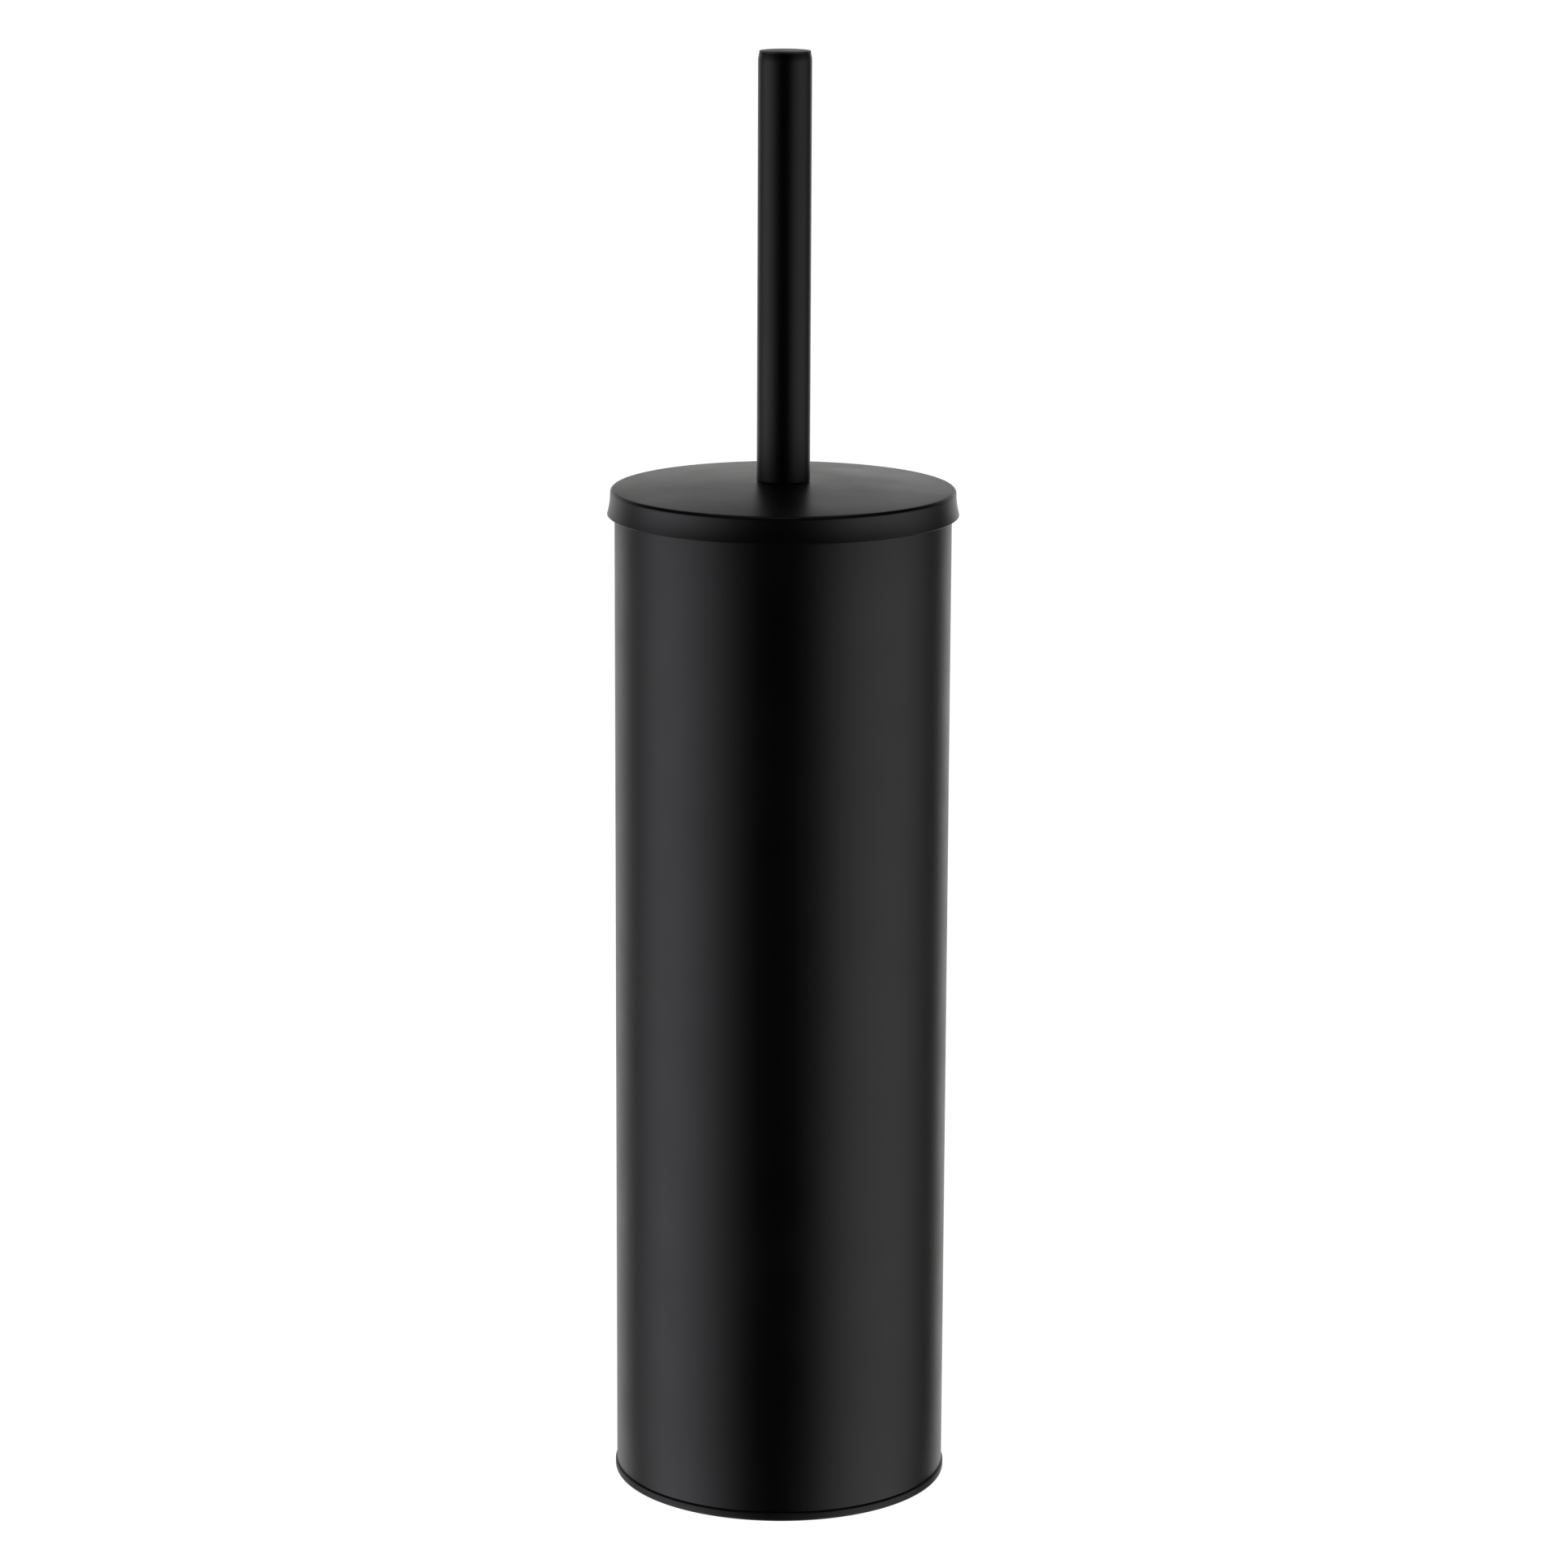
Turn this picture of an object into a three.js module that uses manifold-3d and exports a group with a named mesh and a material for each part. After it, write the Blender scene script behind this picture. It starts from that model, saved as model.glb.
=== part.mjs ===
// Free-standing toilet brush holder, in millimetres, +Z up, with its origin on the floor under
// the middle. A coated steel tube stands on a moulded base and holds a lift-out liner. The brush
// hangs in the liner by its domed lid: the lid turns on a bush that is clamped between the handle
// and the stem, and the brush head screws on to the lower end of the stem.

import * as THREE from "three";
import { mergeVertices } from "three/addons/utils/BufferGeometryUtils.js";
import Module from "manifold-3d";

const wasm = await Module();
wasm.setup();

// Driving dimensions.

const sides = { big: 48, small: 24, brush: 24 }; // facets round each kind of turned piece

const clearance = {
  seat: 0.1, // between a piece and the piece that it stands on
  press: 0.1, // round a piece that is pressed or glued in
  thread: 0.2, // round a thread
  linerSlide: 0.6, // between the liner and the hem that it slides through
  linerFloor: 2, // under the hanging liner
  lidPlay: 0.15, // above and below the lid where it turns
  lidCentring: 0.8, // between the centring lip and the liner's mouth
  headSide: 3.1, // between the bristle tips and the foot of the liner's wall
  headFloor: 15.5, // between the tip tuft and the liner's floor
};

const footRing = { width: 7, thickness: 1.5, proud: 0.3, inset: 4 };
const base = {
  lipOverhang: 0.4,
  lipHeight: 2.45,
  lipEdge: 0.3,
  floor: 2.4,
  spigotHeight: 12,
  spigotWall: 1.6,
  ribs: 6,
  ribWidth: 1.4,
  ribHeight: 1.2,
  ribBore: 8,
};
const tube = { radius: 45, wall: 0.6, length: 268.8, hemDepth: 6, hemWall: 1.4, hemEdge: 0.4 };
const liner = { wall: 1.2, floor: 1.4, draft: 1.2, corner: 5, flange: 1.2, flangeInset: 0.3 };
const lid = {
  overhang: 1.15, // beyond the tube, before the skirt flares
  wall: 0.6,
  rise: 2.2,
  shoulder: 1,
  skirtDrop: 6.85,
  flare: 0.8,
  flatRadius: 10,
};
const centringRing = { seat: 1.2, lipWall: 1.2, lipDepth: 6 };
const bush = { barrelRadius: 5, flangeRadius: 11, flange: 1.5 };
const washer = { radius: 9, thickness: 1 };
const stud = { radius: 3, inHandle: 14, inStem: 12, chamfer: 0.6 };
const handle = { radius: 7.1, wall: 0.8, length: 112.9, endLength: 2, endInset: 0.3 };
const endCap = { head: 0.5, spigotWall: 1.2, spigotDepth: 9, edge: 0.2 };
const handleInsert = { length: 22 };
const stem = { radius: 6, wall: 0.8 };
const stemInsert = { length: 18 };
const threadPlug = { length: 18, flange: 1.5, threadRadius: 4, threadLength: 14, chamfer: 0.8 };
const seal = { width: 4.3, thickness: 1.5 };
const hub = {
  collarRadius: 9.5,
  collarHeight: 14,
  neck: 5,
  coreRadius: 13,
  coreLength: 60,
  nose: 9,
  socketSpare: 1.5,
  flutes: 12,
  fluteRadius: 1.2,
  fluteRise: 1, // how far the flutes' middle stands above the collar's
};
const bristle = {
  rows: 8,
  endRowInset: 3.5,
  thickness: 4.8,
  edge: 1.2,
  noseInset: 7.5, // how far the nose row stays inside the level rows
  noseDrop: 12,
  noseThickness: 4.6,
  tipTuftRadius: 4.5,
  tipTuftLength: 5,
};

// Levels that follow from them, upwards from the floor.

const baseBottom = footRing.proud;
const lipTop = baseBottom + base.lipHeight;
const baseFloorTop = baseBottom + base.floor;
const tubeBottom = lipTop + clearance.seat;
const tubeTop = tubeBottom + tube.length;
const linerBottom = baseFloorTop + base.ribHeight + clearance.linerFloor;
const flangeBottom = tubeTop + clearance.seat;
const flangeTop = flangeBottom + liner.flange;
const ringBottom = flangeTop + clearance.seat;
const ringTop = ringBottom + centringRing.seat;
const lidEdgeTop = ringTop + clearance.seat + lid.wall;
const lidRadius = tube.radius + lid.overhang;
const lidDomeRadius = lidRadius - lid.shoulder;
const domeHeight = (r) => lidEdgeTop + lid.rise * (1 - (r / lidDomeRadius) ** 2);
const lidTop = domeHeight(lid.flatRadius);
const handleBottom = lidTop + clearance.lidPlay;
const handleTubeTop = handleBottom + handle.length;
const bushFlangeTop = lidTop - lid.wall - clearance.lidPlay;
const washerTop = bushFlangeTop - bush.flange - clearance.seat;
const stemTop = washerTop - washer.thickness - clearance.seat;
const linerFloorTop = linerBottom + liner.floor;
const tuftBottom = linerFloorTop + clearance.headFloor;
const tuftTop = tuftBottom + bristle.tipTuftLength;
const coreBottom = tuftTop + clearance.seat + hub.nose;
const coreTop = coreBottom + hub.coreLength;
const hubTop = coreTop + hub.neck + hub.collarHeight;
const sealTop = hubTop + clearance.seat + seal.thickness;
const threadTop = sealTop + clearance.seat;
const stemBottom = threadTop + threadPlug.flange + clearance.seat;

// Radii that more than one piece needs.

const hemBore = tube.radius - tube.hemWall;
const linerMouth = hemBore - clearance.linerSlide;
const linerFoot = linerMouth - liner.draft;
const bristleTip = linerFoot - liner.wall - clearance.headSide;
const studBore = stud.radius + clearance.thread;
const handleBore = handle.radius - handle.wall;
const stemBore = stem.radius - stem.wall;
const threadBore = threadPlug.threadRadius + clearance.thread;

// Shapes.

const point = (r, z) => new THREE.Vector2(r, z);

// Turns a closed outline of radius and height about the Z axis.
function turned(outline, facets) {
  const closed = outline[0].x > 0 ? [...outline, outline[0].clone()] : [...outline];
  const points = THREE.ShapeUtils.area(outline) < 0 ? closed.reverse() : closed;
  return new THREE.LatheGeometry(points, facets).rotateX(Math.PI / 2);
}

const ringOutline = (inner, outer, bottom, top) => [
  point(inner, bottom),
  point(outer, bottom),
  point(outer, top),
  point(inner, top),
];

// Points on an arc about a centre, from one angle to another, in degrees.
function arc(r, z, radius, from, to, steps) {
  return Array.from({ length: steps + 1 }, (_, i) => {
    const angle = THREE.MathUtils.degToRad(from + ((to - from) * i) / steps);
    return point(r + radius * Math.cos(angle), z + radius * Math.sin(angle));
  });
}

// A line of points moved sideways by the wall, to the right of its direction.
function offsetLine(line, wall) {
  return line.map((p, i) => {
    const before = line[Math.max(i - 1, 0)];
    const after = line[Math.min(i + 1, line.length - 1)];
    const along = after.clone().sub(before).normalize();
    return point(p.x + along.y * wall, p.y - along.x * wall);
  });
}

function toSolid(geometry) {
  const bare = geometry.clone();
  bare.deleteAttribute("normal");
  bare.deleteAttribute("uv");
  const merged = mergeVertices(bare, 1e-4);
  return new wasm.Manifold(
    new wasm.Mesh({
      numProp: 3,
      vertProperties: merged.attributes.position.array,
      triVerts: new Uint32Array(merged.index.array),
    }),
  );
}

function toGeometry(solid) {
  const { vertProperties, triVerts } = solid.getMesh();
  const geometry = new THREE.BufferGeometry();
  geometry.setAttribute("position", new THREE.BufferAttribute(vertProperties, 3));
  geometry.setIndex(new THREE.BufferAttribute(triVerts, 1));
  geometry.computeVertexNormals();
  return geometry;
}

// Holder.

function footRingShape() {
  const outer = tube.radius - footRing.inset;
  return turned(
    ringOutline(outer - footRing.width, outer, 0, footRing.thickness),
    sides.big,
  );
}

function baseCapShape() {
  const lipRadius = tube.radius + base.lipOverhang;
  const spigot = tube.radius - tube.wall - clearance.press;
  const spigotBore = spigot - base.spigotWall;
  const spigotTop = lipTop + base.spigotHeight;
  const grooveOuter = tube.radius - footRing.inset + clearance.press;
  const grooveInner = grooveOuter - footRing.width - 2 * clearance.press;
  const grooveTop = footRing.thickness + clearance.press;
  const edge = base.lipEdge;
  const cap = turned(
    [
      point(0, baseBottom),
      point(grooveInner, baseBottom),
      point(grooveInner, grooveTop),
      point(grooveOuter, grooveTop),
      point(grooveOuter, baseBottom),
      point(lipRadius - edge, baseBottom),
      point(lipRadius, baseBottom + edge),
      point(lipRadius, lipTop - edge),
      point(lipRadius - edge, lipTop),
      point(spigot, lipTop),
      point(spigot, spigotTop),
      point(spigotBore, spigotTop),
      point(spigotBore, baseFloorTop),
      point(0, baseFloorTop),
    ],
    sides.big,
  );
  const bite = 0.5; // how far a rib runs into the floor and the wall that it joins
  const ribLength = spigotBore + bite - base.ribBore;
  let solid = toSolid(cap);
  for (let i = 0; i < base.ribs; i += 1) {
    const rib = new THREE.BoxGeometry(ribLength, base.ribWidth, base.ribHeight + bite);
    rib.translate(base.ribBore + ribLength / 2, 0, baseFloorTop + (base.ribHeight - bite) / 2);
    rib.rotateZ((2 * Math.PI * (i + 0.5)) / base.ribs);
    solid = solid.add(toSolid(rib));
  }
  return toGeometry(solid);
}

function bodyTubeShape() {
  const hemBottom = tubeTop - tube.hemDepth;
  return turned(
    [
      point(tube.radius, tubeBottom),
      point(tube.radius, tubeTop - tube.hemEdge),
      point(tube.radius - tube.hemEdge, tubeTop),
      point(hemBore + tube.hemEdge, tubeTop),
      point(hemBore, tubeTop - tube.hemEdge),
      point(hemBore, hemBottom),
      point(tube.radius - tube.wall, hemBottom),
      point(tube.radius - tube.wall, tubeBottom),
    ],
    sides.big,
  );
}

// Liner.

function linerShape() {
  const innerCorner = liner.corner - liner.wall;
  return turned(
    [
      point(0, linerBottom),
      ...arc(linerFoot - liner.corner, linerBottom + liner.corner, liner.corner, -90, 0, 4),
      point(linerMouth, flangeBottom),
      point(tube.radius - liner.flangeInset, flangeBottom),
      point(tube.radius - liner.flangeInset, flangeTop),
      point(linerMouth - liner.wall, flangeTop),
      ...arc(linerFoot - liner.corner, linerFloorTop + innerCorner, innerCorner, 0, -90, 4),
      point(0, linerFloorTop),
    ],
    sides.big,
  );
}

// Lid.

function lidCoverShape() {
  const hole = bush.barrelRadius + clearance.thread;
  const domeSteps = 3;
  const dome = Array.from({ length: domeSteps }, (_, i) => {
    const r = lid.flatRadius + ((lidDomeRadius - lid.flatRadius) * i) / domeSteps;
    return point(r, domeHeight(r));
  });
  const skirtTop = lidEdgeTop - lid.shoulder;
  const skirtBottom = lidEdgeTop - lid.skirtDrop;
  const skirtSteps = 3;
  const skirt = Array.from({ length: skirtSteps }, (_, i) => {
    const share = (i + 1) / skirtSteps;
    const z = THREE.MathUtils.lerp(skirtTop, skirtBottom, share);
    return point(lidRadius + lid.flare * share ** 2, z);
  });
  const outer = [
    point(hole, lidTop),
    ...dome,
    ...arc(lidDomeRadius, skirtTop, lid.shoulder, 90, 0, 4),
    ...skirt,
  ];
  return turned([...outer, ...offsetLine(outer, lid.wall).reverse()], sides.big);
}

function centringRingShape() {
  const lip = linerMouth - liner.wall - clearance.lidCentring;
  const bore = lip - centringRing.lipWall;
  const lipBottom = ringBottom - centringRing.lipDepth;
  const rim = lidDomeRadius - clearance.press;
  return turned(
    [
      point(bore, lipBottom),
      point(lip, lipBottom),
      point(lip, ringBottom),
      point(rim, ringBottom),
      point(rim, ringTop),
      point(bore, ringTop),
    ],
    sides.big,
  );
}

// Handle, clamp stack and stem.

function handleTubeShape() {
  const endOuter = handle.radius - handle.endInset;
  const endInner = endOuter - handle.wall;
  const bend = handleTubeTop - handle.endLength;
  const middle = handleTubeTop - handle.endLength / 2;
  const quarter = handle.endInset / 4; // the end closes in slowly at first
  return turned(
    [
      point(handle.radius, handleBottom),
      point(handle.radius, bend),
      point(handle.radius - quarter, middle),
      point(endOuter, handleTubeTop),
      point(endInner, handleTubeTop),
      point(handleBore - quarter, middle),
      point(handleBore, bend),
      point(handleBore, handleBottom),
    ],
    sides.small,
  );
}

function endCapShape() {
  const head = handle.radius - handle.endInset;
  const spigot = head - handle.wall - clearance.press;
  const headBottom = handleTubeTop + clearance.seat;
  const headTop = headBottom + endCap.head;
  const spigotBottom = headBottom - endCap.spigotDepth;
  return turned(
    [
      point(0, headTop),
      point(head - endCap.edge, headTop),
      point(head, headTop - endCap.edge),
      point(head, headBottom),
      point(spigot, headBottom),
      point(spigot, spigotBottom),
      point(spigot - endCap.spigotWall, spigotBottom),
      point(spigot - endCap.spigotWall, headBottom),
      point(0, headBottom),
    ],
    sides.small,
  );
}

// A plug with a threaded hole, pressed into one end of a tube.
const tappedInsertShape = (bore, bottom, top) =>
  turned(ringOutline(studBore, bore - clearance.press, bottom, top), sides.small);

function studShape() {
  const bottom = stemTop - stud.inStem;
  const top = handleBottom + stud.inHandle;
  return turned(
    [
      point(0, bottom),
      point(stud.radius - stud.chamfer, bottom),
      point(stud.radius, bottom + stud.chamfer),
      point(stud.radius, top - stud.chamfer),
      point(stud.radius - stud.chamfer, top),
      point(0, top),
    ],
    sides.small,
  );
}

function bushShape() {
  return turned(
    [
      point(studBore, bushFlangeTop - bush.flange),
      point(bush.flangeRadius, bushFlangeTop - bush.flange),
      point(bush.flangeRadius, bushFlangeTop),
      point(bush.barrelRadius, bushFlangeTop),
      point(bush.barrelRadius, handleBottom - clearance.seat),
      point(studBore, handleBottom - clearance.seat),
    ],
    sides.small,
  );
}

const washerShape = () =>
  turned(
    ringOutline(studBore, washer.radius, washerTop - washer.thickness, washerTop),
    sides.small,
  );

const stemTubeShape = () =>
  turned(ringOutline(stemBore, stem.radius, stemBottom, stemTop), sides.small);

function threadPlugShape() {
  const body = stemBore - clearance.press;
  const tip = threadTop - threadPlug.threadLength;
  return turned(
    [
      point(0, tip),
      point(threadPlug.threadRadius - threadPlug.chamfer, tip),
      point(threadPlug.threadRadius, tip + threadPlug.chamfer),
      point(threadPlug.threadRadius, threadTop),
      point(stem.radius, threadTop),
      point(stem.radius, threadTop + threadPlug.flange),
      point(body, threadTop + threadPlug.flange),
      point(body, stemBottom + threadPlug.length),
      point(0, stemBottom + threadPlug.length),
    ],
    sides.small,
  );
}

// Brush head.

const sealShape = () =>
  turned(
    ringOutline(threadBore, threadBore + seal.width, sealTop - seal.thickness, sealTop),
    sides.small,
  );

function hubShape() {
  const socketBottom = hubTop - threadPlug.threadLength - hub.socketSpare;
  const collarBottom = hubTop - hub.collarHeight;
  const noseSteps = 4;
  const nose = Array.from({ length: noseSteps + 1 }, (_, i) => {
    const angle = (Math.PI / 2) * (i / noseSteps);
    return point(hub.coreRadius * Math.sin(angle), coreBottom - hub.nose * Math.cos(angle));
  });
  const body = turned(
    [
      ...nose,
      point(hub.coreRadius, coreTop),
      point(hub.collarRadius, collarBottom),
      point(hub.collarRadius, hubTop),
      point(threadBore, hubTop),
      point(threadBore, socketBottom),
      point(0, socketBottom),
    ],
    sides.brush,
  );
  let solid = toSolid(body);
  for (let i = 0; i < hub.flutes; i += 1) {
    const angle = (2 * Math.PI * i) / hub.flutes;
    const flute = new THREE.CylinderGeometry(
      hub.fluteRadius,
      hub.fluteRadius,
      hub.collarHeight,
      8,
    );
    flute.rotateX(Math.PI / 2);
    flute.translate(
      (hub.collarRadius + hub.fluteRadius / 2) * Math.cos(angle),
      (hub.collarRadius + hub.fluteRadius / 2) * Math.sin(angle),
      collarBottom + hub.collarHeight / 2 + hub.fluteRise,
    );
    solid = solid.subtract(toSolid(flute));
  }
  return toGeometry(solid);
}

// The rows are counted from the stem downwards, and the first and last are trimmed shorter.
function bristleRowShape(row) {
  const pitch = hub.coreLength / bristle.rows;
  const middle = coreTop - pitch * (row + 0.5);
  const isEnd = row === 0 || row === bristle.rows - 1;
  const tip = bristleTip - (isEnd ? bristle.endRowInset : 0);
  const root = hub.coreRadius + clearance.press;
  const half = bristle.thickness / 2;
  return turned(
    [
      point(root, middle - half),
      point(tip - bristle.edge, middle - half),
      point(tip, middle - half + bristle.edge),
      point(tip, middle + half - bristle.edge),
      point(tip - bristle.edge, middle + half),
      point(root, middle + half),
    ],
    sides.brush,
  );
}

// The slanted row round the nose.
function noseRowShape() {
  const rootTop = coreBottom - clearance.press;
  const root = hub.coreRadius + clearance.press;
  const reach = bristleTip - bristle.noseInset;
  const tipTop = rootTop - bristle.noseDrop + bristle.noseThickness;
  return turned(
    [
      point(root, rootTop - bristle.noseThickness),
      point(reach, tipTop - bristle.noseThickness),
      point(reach, tipTop),
      point(root, rootTop),
    ],
    sides.brush,
  );
}

function tipTuftShape() {
  return turned(
    [
      point(0, tuftBottom),
      point(bristle.tipTuftRadius, tuftBottom + bristle.edge),
      point(bristle.tipTuftRadius, tuftTop),
      point(0, tuftTop),
    ],
    sides.small,
  );
}

// Finishes.

const finish = (color, roughness, metalness = 0) =>
  new THREE.MeshStandardMaterial({ color, roughness, metalness });

const coatedSteel = finish(0x1b1b1c, 0.45, 0.1);
const plainSteel = finish(0xb4b4b2, 0.3, 1);
const basePlastic = finish(0x1c1c1b, 0.5);
const linerPlastic = finish(0x2b2b2d, 0.4);
const nylon = finish(0xd8d4c8, 0.5);
const softRubber = finish(0x151515, 0.9);
const hubPlastic = finish(0x18181a, 0.35);
const bristleNylon = finish(0x1e1e20, 0.5);

// Assembly.

const toiletBrushHolder = new THREE.Group();

function group(...meshes) {
  toiletBrushHolder.add(new THREE.Group().add(...meshes));
}

function piece(name, geometry, material) {
  const mesh = new THREE.Mesh(geometry, material);
  mesh.name = name;
  return mesh;
}

group(
  piece("nonslip_ring", footRingShape(), softRubber),
  piece("base_cap", baseCapShape(), basePlastic),
  piece("body_tube", bodyTubeShape(), coatedSteel),
);

group(piece("inner_liner", linerShape(), linerPlastic));

group(
  piece("lid_cover", lidCoverShape(), coatedSteel),
  piece("lid_centring_ring", centringRingShape(), basePlastic),
);

const handleInsertTop = handleBottom + handleInsert.length;
const stemInsertBottom = stemTop - stemInsert.length;

group(
  piece("handle_tube", handleTubeShape(), coatedSteel),
  piece("handle_end_cap", endCapShape(), coatedSteel),
  piece(
    "handle_insert",
    tappedInsertShape(handleBore, handleBottom, handleInsertTop),
    nylon,
  ),
  piece("tie_stud", studShape(), plainSteel),
  piece("lid_bush", bushShape(), nylon),
  piece("clamp_washer", washerShape(), plainSteel),
  piece(
    "stem_upper_insert",
    tappedInsertShape(stemBore, stemInsertBottom, stemTop),
    nylon,
  ),
  piece("stem_tube", stemTubeShape(), coatedSteel),
  piece("stem_thread_plug", threadPlugShape(), hubPlastic),
);

group(piece("head_seal_washer", sealShape(), softRubber));

const bristleRows = Array.from({ length: bristle.rows }, (_, row) =>
  piece(`bristle_row_${row + 1}`, bristleRowShape(row), bristleNylon),
);

group(
  piece("brush_hub", hubShape(), hubPlastic),
  ...bristleRows,
  piece("bristle_nose_row", noseRowShape(), bristleNylon),
  piece("bristle_tip_tuft", tipTuftShape(), bristleNylon),
);

export default toiletBrushHolder;
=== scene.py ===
import math

import bmesh
import bpy
from mathutils import Euler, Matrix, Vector


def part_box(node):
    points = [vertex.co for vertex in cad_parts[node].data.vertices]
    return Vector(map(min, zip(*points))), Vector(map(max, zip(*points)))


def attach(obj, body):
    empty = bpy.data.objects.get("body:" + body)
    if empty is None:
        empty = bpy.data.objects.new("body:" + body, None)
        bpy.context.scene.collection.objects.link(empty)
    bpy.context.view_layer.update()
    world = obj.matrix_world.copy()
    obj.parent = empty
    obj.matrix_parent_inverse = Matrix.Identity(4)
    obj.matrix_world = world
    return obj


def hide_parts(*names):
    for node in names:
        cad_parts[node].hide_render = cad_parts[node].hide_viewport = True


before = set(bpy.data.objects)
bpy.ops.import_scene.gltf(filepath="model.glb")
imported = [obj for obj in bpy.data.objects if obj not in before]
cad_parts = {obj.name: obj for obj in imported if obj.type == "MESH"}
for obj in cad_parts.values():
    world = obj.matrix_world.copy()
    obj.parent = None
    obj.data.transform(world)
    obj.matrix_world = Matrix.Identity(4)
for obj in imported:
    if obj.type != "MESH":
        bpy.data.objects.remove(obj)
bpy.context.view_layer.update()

mm = 0.001
degree = math.pi / 180
tiny = 1e-6


def fill(tree, socket, value):
    if isinstance(value, bpy.types.NodeSocket):
        tree.links.new(value, socket)
    else:
        socket.default_value = value


def addNode(tree, kind, inputs=None, **settings):
    node = tree.nodes.new(kind)
    for name, value in settings.items():
        setattr(node, name, value)
    for name, value in (inputs or {}).items():
        fill(tree, node.inputs[name], value)
    return node


def fillInTurn(tree, node, values):
    for socket, value in zip(node.inputs, values):
        fill(tree, socket, value)
    return node.outputs[0]


def calc(tree, operation, *values, clamp=False):
    return fillInTurn(tree, addNode(tree, "ShaderNodeMath", operation=operation, use_clamp=clamp), values)


def vectorCalc(tree, operation, *values):
    return fillInTurn(tree, addNode(tree, "ShaderNodeVectorMath", operation=operation), values)


def scaled(tree, vector, size):
    node = addNode(tree, "ShaderNodeVectorMath", {"Scale": size}, operation="SCALE")
    return fillInTurn(tree, node, [vector])


def ramp(tree, value, low, high):
    node = addNode(tree, "ShaderNodeMapRange", {"Value": value, "From Min": low, "From Max": high},
                   interpolation_type="SMOOTHSTEP")
    return node.outputs["Result"]


def addSockets(group, direction, sockets):
    for name, kind, value in sockets:
        socket = group.interface.new_socket(name, in_out=direction, socket_type="NodeSocket" + kind)
        if value is not None:
            socket.default_value = value


def makeGrainGroup():
    group = bpy.data.node_groups.new("surfaceGrain", "ShaderNodeTree")
    addSockets(group, "INPUT", [("Fine Size", "Float", 0.0004), ("Broad Size", "Float", 0.02),
                                ("Stretch", "Vector", (1, 1, 1))])
    addSockets(group, "OUTPUT", [("Height", "Float", None), ("Cloud", "Float", None)])
    start = addNode(group, "NodeGroupInput")
    place = addNode(group, "ShaderNodeTexCoord").outputs["Object"]
    place = vectorCalc(group, "MULTIPLY", place, start.outputs["Stretch"])
    fineScale = calc(group, "DIVIDE", 1, start.outputs["Fine Size"])
    broadScale = calc(group, "DIVIDE", 1, start.outputs["Broad Size"])
    fine = addNode(group, "ShaderNodeTexNoise",
                   {"Vector": place, "Scale": fineScale, "Detail": 2.0, "Roughness": 0.55})
    broad = addNode(group, "ShaderNodeTexNoise",
                    {"Vector": place, "Scale": broadScale, "Detail": 4.0, "Roughness": 0.5})
    addNode(group, "NodeGroupOutput", {"Height": fine.outputs["Fac"], "Cloud": broad.outputs["Fac"]})
    return group


def makeEdgeWearGroup():
    group = bpy.data.node_groups.new("edgeWear", "ShaderNodeTree")
    addSockets(group, "INPUT", [("Amount", "Float", 0.3), ("Patch Size", "Float", 0.004)])
    addSockets(group, "OUTPUT", [("Mask", "Float", None)])
    start = addNode(group, "NodeGroupInput")
    edge = addNode(group, "ShaderNodeAttribute", attribute_name="edge").outputs["Fac"]
    place = addNode(group, "ShaderNodeTexCoord").outputs["Object"]
    patches = addNode(group, "ShaderNodeTexNoise",
                      {"Vector": place, "Scale": calc(group, "DIVIDE", 1, start.outputs["Patch Size"]),
                       "Detail": 5.0, "Roughness": 0.65}).outputs["Fac"]
    shown = addNode(group, "ShaderNodeMapRange", {"Value": patches, "From Min": 0.42, "From Max": 0.72})
    mask = calc(group, "MULTIPLY", edge, shown.outputs["Result"])
    mask = calc(group, "MULTIPLY", mask, start.outputs["Amount"], clamp=True)
    addNode(group, "NodeGroupOutput", {"Mask": mask})
    return group


grainGroup = makeGrainGroup()
edgeWearGroup = makeEdgeWearGroup()


def makeMaterial(name, look):
    material = bpy.data.materials.new(name)
    material.use_nodes = True
    tree = material.node_tree
    tree.nodes.clear()
    grain = addNode(tree, "ShaderNodeGroup",
                    {"Fine Size": look["fineSize"], "Broad Size": look["broadSize"],
                     "Stretch": look.get("stretch", (1, 1, 1))}, node_tree=grainGroup)
    wear = addNode(tree, "ShaderNodeGroup", {"Amount": look["wear"]}, node_tree=edgeWearGroup)
    base = addNode(tree, "ShaderNodeMix",
                   {"Factor": grain.outputs["Cloud"], "A": (*look["color"], 1),
                    "B": (*look["cloudColor"], 1)}, data_type="RGBA")
    worn = addNode(tree, "ShaderNodeMix",
                   {"Factor": wear.outputs["Mask"], "A": base.outputs["Result"],
                    "B": (*look["wornColor"], 1)}, data_type="RGBA")
    rough = addNode(tree, "ShaderNodeMapRange",
                    {"Value": grain.outputs["Cloud"], "From Min": 0.3, "From Max": 0.7,
                     "To Min": look["roughness"] - look["roughSpread"],
                     "To Max": look["roughness"] + look["roughSpread"]})
    bump = addNode(tree, "ShaderNodeBump",
                   {"Height": grain.outputs["Height"], "Strength": look["bump"],
                    "Distance": look["bumpDepth"]})
    shader = addNode(tree, "ShaderNodeBsdfPrincipled",
                     {"Base Color": worn.outputs["Result"], "Roughness": rough.outputs["Result"],
                      "Normal": bump.outputs["Normal"], "Metallic": look.get("metallic", 0),
                      "Specular IOR Level": look.get("specular", 0.5)})
    addNode(tree, "ShaderNodeOutputMaterial", {"Surface": shader.outputs["BSDF"]})
    return material


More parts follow.
